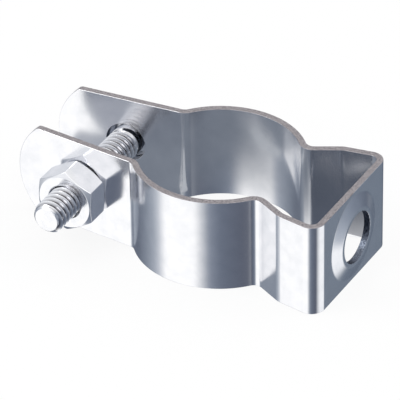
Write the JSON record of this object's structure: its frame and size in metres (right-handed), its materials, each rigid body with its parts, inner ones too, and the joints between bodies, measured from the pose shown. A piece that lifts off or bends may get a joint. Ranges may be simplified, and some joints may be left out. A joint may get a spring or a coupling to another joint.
{
  "type": "pipe clip with bolt",
  "caption": "Folded steel pipe clip whose ears are drawn together by a bolt and nut, with a bossed mounting hole in its base.",
  "frame": {"origin": "on the pipe's axis, in the plane of the band's lower edge", "axes": "+Z along the pipe's axis, +X from the pipe's axis through the base's mounting hole, and +Y towards the bolt's head"},
  "size_m": [0.0676, 0.0384, 0.0191],
  "materials": {
    "band_zinc": "bright zinc plate on rolled strip",
    "bolt_zinc": "bright zinc plate on a rolled thread",
    "nut_zinc": "bright zinc plate on a cold-formed nut"
  },
  "bodies": {
    "band": {"clip_band": "band_zinc"},
    "bolt": {"clamp_bolt": "bolt_zinc"},
    "nut": {"clamp_nut": "nut_zinc"}
  },
  "joints": [
    {"name": "bolt_turn", "type": "hinge", "parent": "band", "child": "bolt", "pos_m": [-0.0247, 0, 0.00953], "axis": [0, 1, 0], "range_deg": [0, 1800]},
    {"name": "nut_travel", "type": "slide", "parent": "band", "child": "nut", "axis": [0, -1, 0], "range_m": [0, 0.00635]}
  ],
  "couplings": [
    {"joint": "nut_travel", "follows": "bolt_turn", "m_per_rad": 0.00020212}
  ]
}
